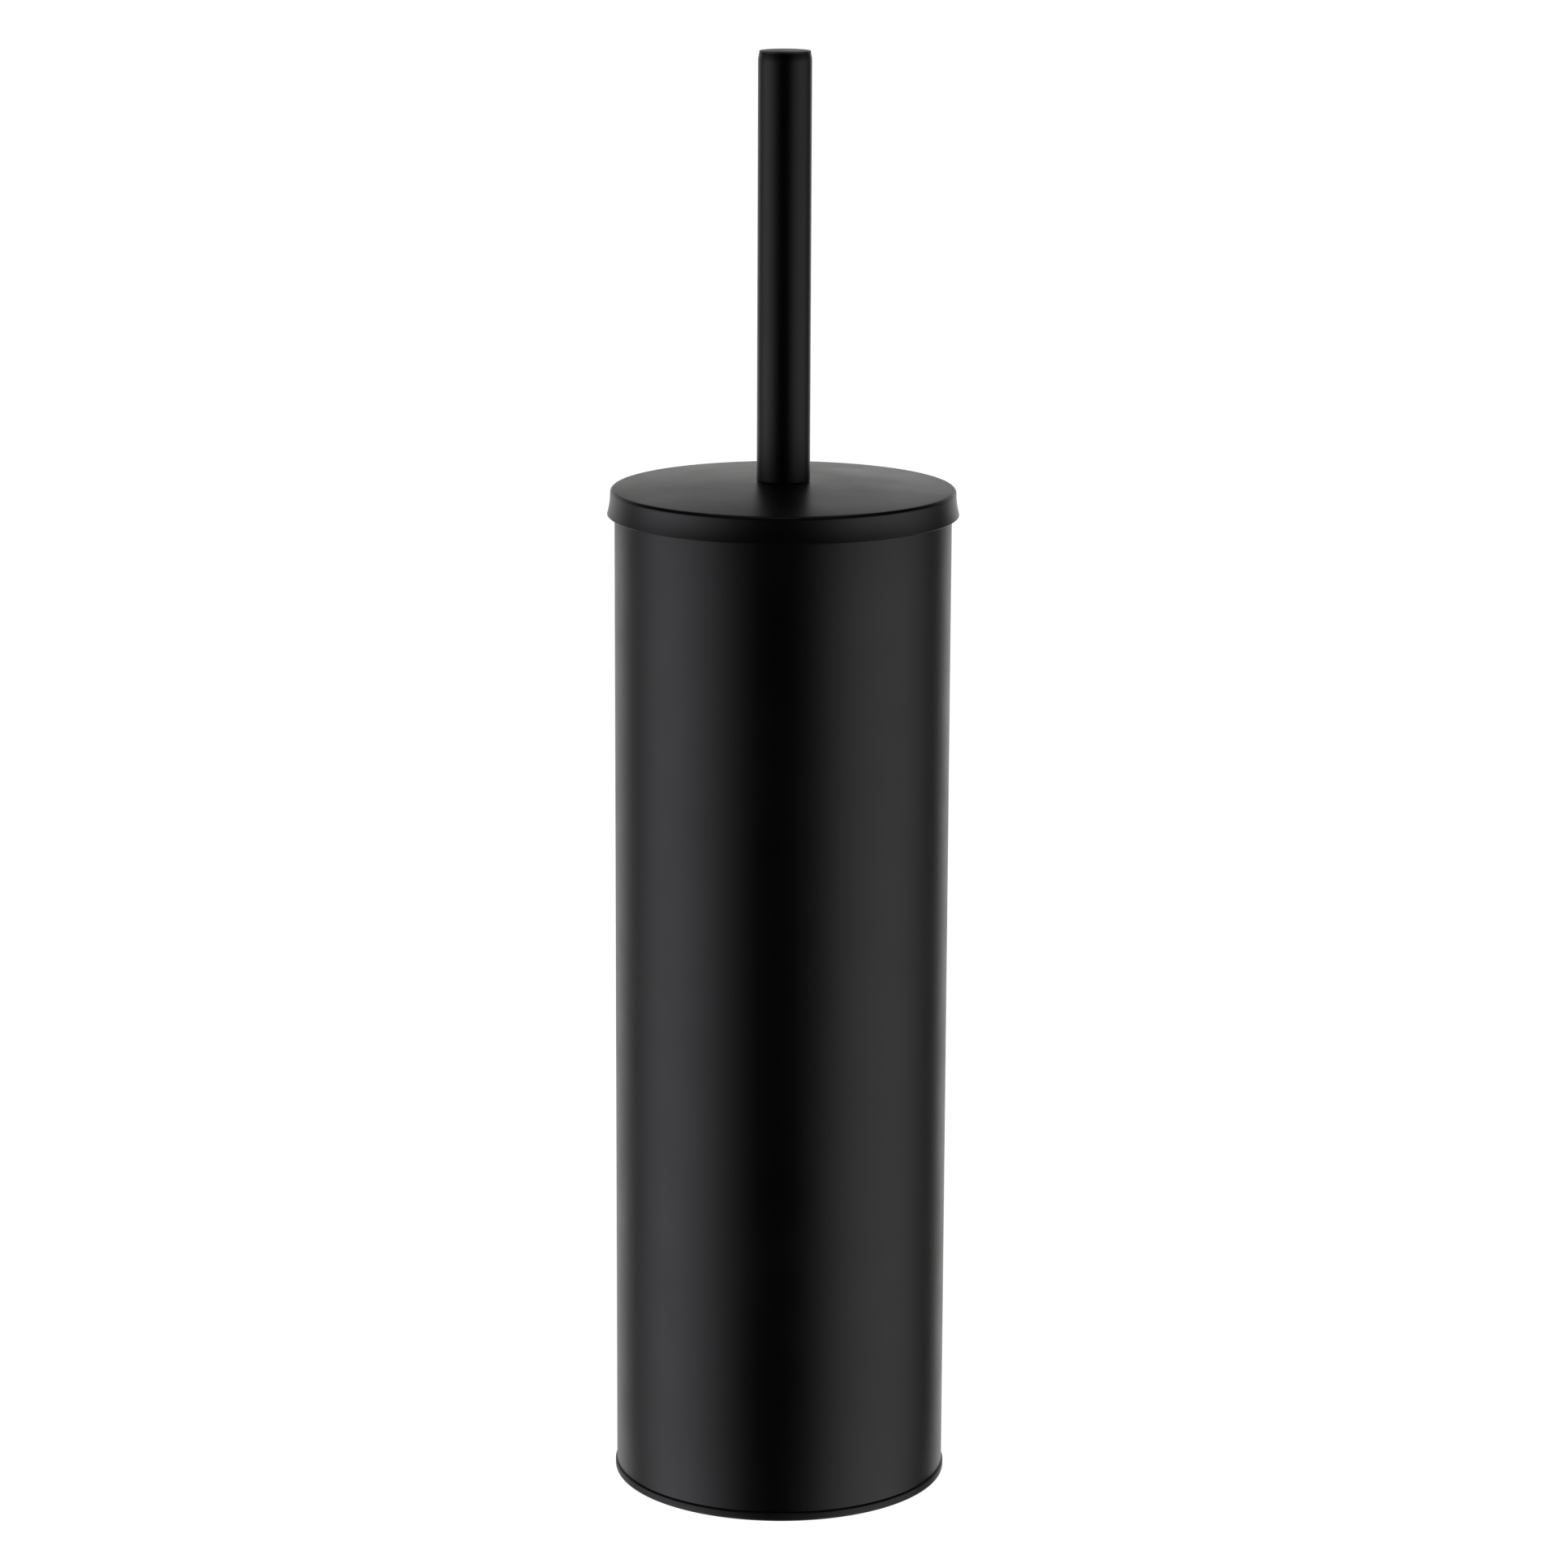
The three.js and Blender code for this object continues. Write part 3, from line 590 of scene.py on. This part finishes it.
def makeLiner():
    wall, corner = liner["wall"], liner["corner"]
    mouth, foot = liner["mouth"], liner["mouth"] - liner["draft"]
    bottom, top = linerLow.z, linerHigh.z
    under = top - liner["flange"]
    flange = linerHigh.x
    floorTop = bottom + liner["floor"]
    rim = liner["rim"]
    outline = [(0, bottom)]
    outline += arcPoints(foot - corner, bottom + corner, corner, -90, 0, 12)
    outline += [(mouth, under)]
    outline += arcPoints(flange - rim, under + rim, rim, -90, 0, 4)
    outline += arcPoints(flange - rim, top - rim, rim, 0, 90, 4)
    outline += arcPoints(mouth - wall + rim, top - rim, rim, 90, 180, 4)
    outline += arcPoints(foot - corner, floorTop + corner - wall, corner - wall, 0, -90, 10)
    outline += [(liner["crownRadius"], floorTop), (0, floorTop + liner["crown"])]
    return turnPiece("innerLiner", outline, linerPlastic, sides=192, closed=False)


standIn(makeLiner(), "liner", "liner_plastic", "inner_liner")
print("liner made")


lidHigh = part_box("lid_cover")[1]
lid = {"wall": 0.6 * mm, "rise": 2.2 * mm, "shoulder": 1 * mm, "skirtDrop": 6.85 * mm, "flare": 0.8 * mm,
       "flatRadius": 10 * mm, "hole": 5.2 * mm, "lipOut": 0.06 * mm, "lipDown": 0.12 * mm,
       "domeRows": 24, "skirtRows": 14}
lidRadius = lidHigh.x - lid["flare"]
lidDomeRadius = lidRadius - lid["shoulder"]
lidEdgeTop = lidHigh.z - lid["rise"] * (1 - (lid["flatRadius"] / lidDomeRadius) ** 2)


def makeLidCover():
    shoulder, domeRows, skirtRows = lid["shoulder"], lid["domeRows"], lid["skirtRows"]

    def domeHeight(r):
        return lidEdgeTop + lid["rise"] * (1 - (r / lidDomeRadius) ** 2)

    outer = [(lid["hole"], lidHigh.z)]
    for i in range(domeRows):
        r = lid["flatRadius"] + (lidDomeRadius - lid["flatRadius"]) * i / domeRows
        outer.append((r, domeHeight(r)))
    skirtTop, skirtBottom = lidEdgeTop - shoulder, lidEdgeTop - lid["skirtDrop"]
    outer += arcPoints(lidDomeRadius, skirtTop, shoulder, 84, 0, 14)
    for i in range(1, skirtRows + 1):
        outer.append((lidRadius + lid["flare"] * (i / skirtRows) ** 2,
                      skirtTop + (skirtBottom - skirtTop) * i / skirtRows))
    inner = offsetLine(outer, lid["wall"])
    lip = (Vector(outer[-1]) + Vector(inner[-1])) / 2
    outline = outer + [(lip.x + lid["lipOut"], lip.y - lid["lipDown"])] + inner[::-1]
    return turnPiece("lidCover", outline, powderCoat, sides=256, sharpAngle=50)


standIn(makeLidCover(), "lid", "coated_steel", "lid_cover")

centringLow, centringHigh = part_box("lid_centring_ring")
centring = {"seat": 1.2 * mm, "wall": 1.2 * mm, "edge": 0.25 * mm,
            "lip": liner["mouth"] - liner["wall"] - 0.8 * mm, "tipIn": 0.5 * mm, "tipUp": 0.75 * mm}


def makeCentringRing():
    lip, edge = centring["lip"], centring["edge"]
    bore = lip - centring["wall"]
    bottom, top, seat = centringLow.z, centringHigh.z, centringHigh.z - centring["seat"]
    outline = [(bore, top), (bore, bottom + edge), (bore + edge, bottom), (lip - centring["tipIn"], bottom)]
    outline += [(lip, bottom + centring["tipUp"]), (lip, seat)]
    outline += [(centringHigh.x - edge, seat), (centringHigh.x, seat + edge), (centringHigh.x, top)]
    return turnPiece("lidCentringRing", outline, basePlastic, sides=192)


standIn(makeCentringRing(), "lid", "base_plastic", "lid_centring_ring")
print("lid made")


handleLow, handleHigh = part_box("handle_tube")
capLow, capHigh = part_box("handle_end_cap")
handle = {"radius": handleHigh.x, "wall": 0.8 * mm, "endLength": 2 * mm, "endInset": 0.3 * mm,
          "endRows": 12, "edge": 0.12 * mm}
endCap = {"radius": capHigh.x, "edge": 0.15 * mm, "bevel": 0.3, "underEdge": 0.1 * mm, "fit": 0.1 * mm,
          "spigotWall": 1.2 * mm, "head": 0.5 * mm}


def makeHandleTube():
    r, wall, edge = handle["radius"], handle["wall"], handle["edge"]
    bottom, top = handleLow.z, handleHigh.z
    bend, rows = top - handle["endLength"], handle["endRows"]
    outer = [(r - edge, bottom), (r, bottom + edge), (r, (bottom + bend) / 2), (r, bend)]
    for i in range(1, rows + 1):
        sweep = handle["endInset"] * (1 - math.cos(math.pi / 2 * i / rows))
        outer.append((r - sweep, bend + handle["endLength"] * i / rows))
    inner = [(x - wall, z) for x, z in outer[2:]]
    outline = outer + inner[::-1] + [(r - wall, bottom)]
    return turnPiece("handleTube", outline, handleCoat, sides=96)


standIn(makeHandleTube(), "brush", "coated_steel", "handle_tube")


def makeEndCap():
    r, edge, underEdge = endCap["radius"], endCap["edge"], endCap["underEdge"]
    bevel = edge * endCap["bevel"]
    under = capHigh.z - endCap["head"]
    spigot = r - handle["wall"] - endCap["fit"]
    outline = [(0, capHigh.z), (r - edge, capHigh.z), (r - bevel, capHigh.z - bevel)]
    outline += [(r, capHigh.z - edge), (r, under + underEdge), (r - underEdge, under), (spigot, under)]
    outline += [(spigot, capLow.z), (spigot - endCap["spigotWall"], capLow.z)]
    outline += [(spigot - endCap["spigotWall"], under), (0, under)]
    return turnPiece("handleEndCap", outline, dullCoat, sides=96, closed=False)


standIn(makeEndCap(), "brush", "coated_steel", "handle_end_cap")
print("handle made")

stack = {"boreGap": 0.2 * mm, "insertEdge": 0.4 * mm, "bushBarrel": 5 * mm, "bushFlange": 1.5 * mm,
         "bushEdge": 0.3 * mm, "washerEdge": 0.15 * mm, "studPitch": 1 * mm, "studThread": 0.55 * mm,
         "studEdge": 0.6 * mm, "rowsPerPitch": 9, "threadFloor": 0.9}
studLow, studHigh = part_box("tie_stud")
studBore = studHigh.x + stack["boreGap"]


# A ring with its four edges chamfered.
def ringOutline(inner, outer, bottom, top, edge):
    return [(inner, bottom + edge), (inner + edge, bottom), (outer - edge, bottom), (outer, bottom + edge),
            (outer, top - edge), (outer - edge, top), (inner + edge, top), (inner, top - edge)]


def threadRows(radius, bottom, top, pitch):
    count = round((top - bottom) / pitch * stack["rowsPerPitch"])
    return [(radius, bottom + (top - bottom) * i / count) for i in range(count + 1)]


def makeInsert(name, node):
    low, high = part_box(node)
    outline = ringOutline(studBore, high.x, low.z, high.z, stack["insertEdge"])
    return turnPiece(name, outline, nylon, sides=64)


def makeTieStud():
    edge, r = stack["studEdge"], studHigh.x
    outline = [(0, studLow.z), (r - edge, studLow.z)]
    outline += threadRows(r, studLow.z + edge, studHigh.z - edge, stack["studPitch"])
    outline += [(r - edge, studHigh.z), (0, studHigh.z)]
    thread = {"Around": -1.0, "Lead": 1 / stack["studPitch"], "Depth": stack["studThread"], "Share": 0.9,
              "Bottom": studLow.z + edge / 2, "Top": studHigh.z - edge / 2, "Fade": edge,
              "Least Radius": r * stack["threadFloor"]}
    return turnPiece("tieStud", outline, plainSteel, sides=36, closed=False, cuts=[(grooveTree, thread)])


def makeLidBush():
    low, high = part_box("lid_bush")
    barrel, edge = stack["bushBarrel"], stack["bushEdge"]
    flangeTop = low.z + stack["bushFlange"]
    outline = [(studBore, low.z), (high.x - edge, low.z)]
    outline += arcPoints(high.x - edge, flangeTop - edge, edge, -30, 90, 5)
    outline += [(barrel + edge, flangeTop), (barrel, flangeTop + edge), (barrel, high.z - edge / 2)]
    outline += [(barrel - edge / 2, high.z), (studBore, high.z)]
    return turnPiece("lidBush", outline, nylon, sides=96)


def makeClampWasher():
    low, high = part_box("clamp_washer")
    outline = ringOutline(studBore, high.x, low.z, high.z, stack["washerEdge"])
    return turnPiece("clampWasher", outline, plainSteel, sides=96)


standIn(makeInsert("handleInsert", "handle_insert"), "brush", "nylon", "handle_insert")
standIn(makeTieStud(), "brush", "plain_steel", "tie_stud")
standIn(makeLidBush(), "brush", "nylon", "lid_bush")
standIn(makeClampWasher(), "brush", "plain_steel", "clamp_washer")
standIn(makeInsert("stemUpperInsert", "stem_upper_insert"), "brush", "nylon", "stem_upper_insert")

stemLow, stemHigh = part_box("stem_tube")
plugLow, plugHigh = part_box("stem_thread_plug")
stem = {"radius": stemHigh.x, "wall": 0.8 * mm, "edge": 0.15 * mm}
plug = {"flange": 1.5 * mm, "radius": 4 * mm, "thread": 14 * mm, "pitch": 3 * mm,
        "depth": 0.9 * mm, "edge": 0.8 * mm, "fit": 0.1 * mm}


def makeStemTube():
    r, edge = stem["radius"], stem["edge"]
    outline = ringOutline(r - stem["wall"], r, stemLow.z, stemHigh.z, edge)
    return turnPiece("stemTube", outline, powderCoat, sides=96)


def makeThreadPlug():
    r, edge = plug["radius"], plug["edge"]
    shoulder = plugLow.z + plug["thread"]
    flangeTop = shoulder + plug["flange"]
    body = stem["radius"] - stem["wall"] - plug["fit"]
    rim = plug["edge"] / 4
    outline = [(0, plugLow.z), (r - edge, plugLow.z)]
    outline += threadRows(r, plugLow.z + edge, shoulder, plug["pitch"] / 2)
    outline += [(plugHigh.x - rim, shoulder), (plugHigh.x, shoulder + rim), (plugHigh.x, flangeTop - rim)]
    outline += [(plugHigh.x - rim, flangeTop), (body, flangeTop), (body, plugHigh.z - edge)]
    outline += [(body - edge, plugHigh.z), (0, plugHigh.z)]
    thread = {"Around": -1.0, "Lead": 1 / plug["pitch"], "Depth": plug["depth"], "Share": 0.75,
              "Bottom": plugLow.z + edge / 2, "Top": shoulder - edge / 2, "Fade": edge,
              "Least Radius": r * stack["threadFloor"]}
    return turnPiece("stemThreadPlug", outline, hubPlastic, sides=64, closed=False,
                     cuts=[(grooveTree, thread)])


standIn(makeStemTube(), "brush", "coated_steel", "stem_tube")
standIn(makeThreadPlug(), "brush", "hub_plastic", "stem_thread_plug")


def makeSealWasher():
    low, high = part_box("head_seal_washer")
    outline = ringOutline(plug["radius"] + stack["boreGap"], high.x, low.z, high.z, stack["bushEdge"])
    return turnPiece("headSealWasher", outline, softRubber, sides=96)


standIn(makeSealWasher(), "head_washer", "soft_rubber", "head_seal_washer")
print("stem made")

hubLow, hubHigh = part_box("brush_hub")
hub = {"collarRadius": 9.5 * mm, "collarHeight": 14 * mm, "neck": 5 * mm, "nose": 9 * mm, "socket": 15.5 * mm,
       "edge": 0.7 * mm, "flutes": 12, "fluteDepth": 0.6 * mm, "fluteShare": 0.85, "fluteFade": 2.5 * mm,
       "fluteFloor": 0.85, "collarRows": 20, "noseRows": 14}
coreRadius = hubHigh.x
coreTop = hubHigh.z - hub["collarHeight"] - hub["neck"]
coreBottom = hubLow.z + hub["nose"]


def makeBrushHub():
    collar, edge, nose = hub["collarRadius"], hub["edge"], hub["nose"]
    top, collarBottom = hubHigh.z, hubHigh.z - hub["collarHeight"]
    bore, socketBottom = plug["radius"] + stack["boreGap"], hubHigh.z - hub["socket"]
    quarter = [degree * 90 * i / hub["noseRows"] for i in range(hub["noseRows"] + 1)]
    outline = [(coreRadius * math.sin(a), coreBottom - nose * math.cos(a)) for a in quarter]
    outline += arcPoints(coreRadius - edge, coreTop - edge, edge, 0, 50, 4)
    outline += [(collar + edge / 2, collarBottom - edge / 2), (collar, collarBottom + edge / 2)]
    rows = hub["collarRows"]
    outline += [(collar, collarBottom + (top - collarBottom) * i / rows) for i in range(2, rows - 1)]
    outline += arcPoints(collar - edge, top - edge, edge, 0, 90, 6)
    outline += [(bore + edge, top), (bore, top - edge), (bore, socketBottom), (0, socketBottom - edge)]
    flutes = {"Around": float(hub["flutes"]), "Depth": hub["fluteDepth"], "Share": hub["fluteShare"],
              "Bottom": collarBottom, "Top": top + hub["fluteFade"] / 2, "Fade": hub["fluteFade"],
              "Least Radius": collar * hub["fluteFloor"]}
    return turnPiece("brushHub", outline, hubPlastic, sides=192, closed=False, cuts=[(grooveTree, flutes)])


standIn(makeBrushHub(), "head", "hub_plastic", "brush_hub")

rowNodes = ["bristle_row_" + str(i + 1) for i in range(8)]
rowBoxes = [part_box(node) for node in rowNodes]
rowLevels = [(low.z + high.z) / 2 for low, high in rowBoxes]
rowPitch = rowLevels[0] - rowLevels[1]
noseLow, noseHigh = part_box("bristle_nose_row")
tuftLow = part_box("bristle_tip_tuft")[0]
bristles = {
    "all": {"Filaments": 20, "Thickness": 0.42 * mm, "Root Spread": 1.1 * mm, "Stray": 0.7 * mm,
            "Crimp": 0.9 * mm, "Crimp Size": 5 * mm},
    "level": {"Rows": 6, "Tufts": 26, "Root Radius": coreRadius - 1 * mm,
              "Tip Radius": rowBoxes[1][1].x - 0.9 * mm, "Top": rowLevels[1], "Pitch": rowPitch,
              "Tip Spread": (0.5 * mm, 3.4 * mm, 2.4 * mm), "Seed": 11},
    "end": {"Rows": 2, "Tufts": 26, "Root Radius": coreRadius - 1 * mm,
            "Tip Radius": rowBoxes[0][1].x - 0.9 * mm, "Top": rowLevels[0], "Pitch": 7 * rowPitch,
            "Tip Spread": (0.5 * mm, 3.2 * mm, 2.2 * mm), "Seed": 23},
    "nose": {"Rows": 1, "Tufts": 22, "Root Radius": coreRadius * 0.78, "Tip Radius": noseHigh.x - 1.6 * mm,
             "Top": coreBottom - 4 * mm, "Drop": coreBottom - 4 * mm - (noseLow.z + 3.2 * mm),
             "Tip Spread": (1.2 * mm, 3.2 * mm, 2.2 * mm), "Seed": 37},
    "under": {"Rows": 1, "Tufts": 12, "Root Radius": coreRadius * 0.42, "Tip Radius": noseHigh.x * 0.6,
              "Top": coreBottom - 7 * mm, "Drop": coreBottom - 7 * mm - (tuftLow.z + 3 * mm),
              "Tip Spread": (2.4 * mm, 3.2 * mm, 1.6 * mm), "Seed": 41},
    "tip": {"Rows": 1, "Tufts": 1, "Filaments": 90, "Root Radius": 0.0, "Tip Radius": 0.0,
            "Top": coreBottom - 6 * mm, "Drop": coreBottom - 6 * mm - (tuftLow.z + 1.2 * mm),
            "Root Spread": 3 * mm, "Tip Spread": (6.5 * mm, 6.5 * mm, 0.6 * mm), "Seed": 53},
}


def makeBristles():
    piece = newPiece("bristles", bpy.data.meshes.new("bristles"))
    for group in ("level", "end", "nose", "under", "tip"):
        addModifier(piece, bristleTree, {**bristles["all"], **bristles[group], "Material": bristleNylon})
    return applyModifiers(piece, sharpAngle=100)


standIn(makeBristles(), "head", "bristle_nylon", *rowNodes, "bristle_nose_row", "bristle_tip_tuft")
print("brush head made")


# Side panels and a backdrop by azimuth, in degrees from the front, and a glow overhead by elevation. The
# levels are the elevations at which the panels and the backdrop fade out and in.
studio = {
    "pale": (1.0, 1.0, 1.0),
    "dark": 0.001,
    "leftPanel": {"start": 15, "full": 82, "hold": 86, "end": 126, "glow": 1.3,
                  "tint": (0.985, 0.98, 1.04)},
    "rightPanel": {"start": 11, "full": 60, "hold": 82, "end": 132, "glow": 0.93,
                   "tint": (1.015, 0.99, 0.985)},
    "panelLevels": (28, -10),
    "leftBackdrop": {"start": 116, "full": 150, "glow": 0.92, "tint": (1.01, 1.0, 0.99)},
    "rightBackdrop": {"start": 132, "full": 154, "glow": 1.08, "tint": (1.01, 1.0, 0.99)},
    "backdropLevels": (33, 4.5),
    "overhead": {"start": 45, "full": 80, "glow": 0.22, "tint": (1.0, 1.0, 1.0)},
}


def makeStudio():
    world = bpy.data.worlds.new("studio")
    world.use_nodes = True
    tree = world.node_tree
    tree.nodes.clear()
    direction = addNode(tree, "ShaderNodeTexCoord").outputs["Generated"]
    parts = addNode(tree, "ShaderNodeSeparateXYZ", {"Vector": direction})
    across, along, up = parts.outputs
    ahead = calc(tree, "MULTIPLY", along, -1)
    azimuth = calc(tree, "MULTIPLY", calc(tree, "ARCTAN2", across, ahead), 1 / degree)
    elevation = calc(tree, "MULTIPLY", calc(tree, "ARCSINE", up), 1 / degree)

    def glow(share, panel, total):
        strength = calc(tree, "MULTIPLY", share, panel["glow"])
        return vectorCalc(tree, "ADD", total, scaled(tree, panel["tint"], strength))

    turnedLeft = calc(tree, "MULTIPLY", azimuth, -1)
    panelShare = ramp(tree, elevation, *studio["panelLevels"])
    backShare = ramp(tree, elevation, *studio["backdropLevels"])
    total = addNode(tree, "ShaderNodeCombineXYZ", {n: studio["dark"] for n in "XYZ"}).outputs[0]
    for side, name in ((turnedLeft, "left"), (azimuth, "right")):
        panel, backdrop = studio[name + "Panel"], studio[name + "Backdrop"]
        share = calc(tree, "MULTIPLY", ramp(tree, side, panel["start"], panel["full"]),
                     ramp(tree, side, panel["end"], panel["hold"]))
        total = glow(calc(tree, "MULTIPLY", share, panelShare), panel, total)
        behind = ramp(tree, side, backdrop["start"], backdrop["full"])
        total = glow(calc(tree, "MULTIPLY", behind, backShare), backdrop, total)
    overhead = studio["overhead"]
    total = glow(ramp(tree, elevation, overhead["start"], overhead["full"]), overhead, total)

    seen = addNode(tree, "ShaderNodeLightPath").outputs["Is Camera Ray"]
    color = addNode(tree, "ShaderNodeMix", {"Factor": seen, "A": total, "B": (*studio["pale"], 1)},
                    data_type="RGBA")
    background = addNode(tree, "ShaderNodeBackground", {"Color": color.outputs["Result"], "Strength": 1.0})
    addNode(tree, "ShaderNodeOutputWorld", {"Surface": background.outputs["Background"]})
    bpy.context.scene.world = world


makeStudio()


floorStage = {"radius": 8, "sides": 96, "matt": (0.5, 0.5, 0.5, 1)}


def makeFloor():
    shaped = bmesh.new()
    bmesh.ops.create_circle(shaped, cap_ends=True, segments=floorStage["sides"], radius=floorStage["radius"])
    mesh = bpy.data.meshes.new("floor")
    shaped.to_mesh(mesh)
    shaped.free()
    floor = newPiece("floor", mesh)
    material = bpy.data.materials.new("paleFloor")
    material.use_nodes = True
    tree = material.node_tree
    tree.nodes.clear()
    shine = addNode(tree, "ShaderNodeEmission", {"Strength": 1.0, "Color": (*studio["pale"], 1)})
    matt = addNode(tree, "ShaderNodeBsdfDiffuse", {"Color": floorStage["matt"]})
    both = fillInTurn(tree, addNode(tree, "ShaderNodeAddShader"), [shine.outputs[0], matt.outputs[0]])
    clear = addNode(tree, "ShaderNodeBsdfTransparent").outputs[0]
    under = addNode(tree, "ShaderNodeNewGeometry").outputs["Backfacing"]
    sides = fillInTurn(tree, addNode(tree, "ShaderNodeMixShader"), [under, both, clear])
    addNode(tree, "ShaderNodeOutputMaterial", {"Surface": sides})
    mesh.materials.append(material)
    floor.visible_glossy = False
    floor.visible_diffuse = False


makeFloor()


camera = {"across": 0.00053, "distance": 1.3458, "height": 0.4992, "pitch": 12.775, "roll": 0.25,
          "lens": 117.37, "sensor": 36, "near": 0.05, "far": 50}


def makeCamera():
    data = bpy.data.cameras.new("camera")
    data.lens = camera["lens"]
    data.sensor_width = camera["sensor"]
    data.clip_start = camera["near"]
    data.clip_end = camera["far"]
    view = bpy.data.objects.new("camera", data)
    view.location = (camera["across"], -camera["distance"], camera["height"])
    view.rotation_mode = "XYZ"
    level = Euler((math.pi / 2 - camera["pitch"] * degree, 0, 0)).to_matrix()
    view.rotation_euler = (level @ Euler((0, 0, camera["roll"] * degree)).to_matrix()).to_euler()
    bpy.context.scene.collection.objects.link(view)
    bpy.context.scene.camera = view


makeCamera()
bpy.context.scene.view_settings.view_transform = "Standard"

print("scene made")
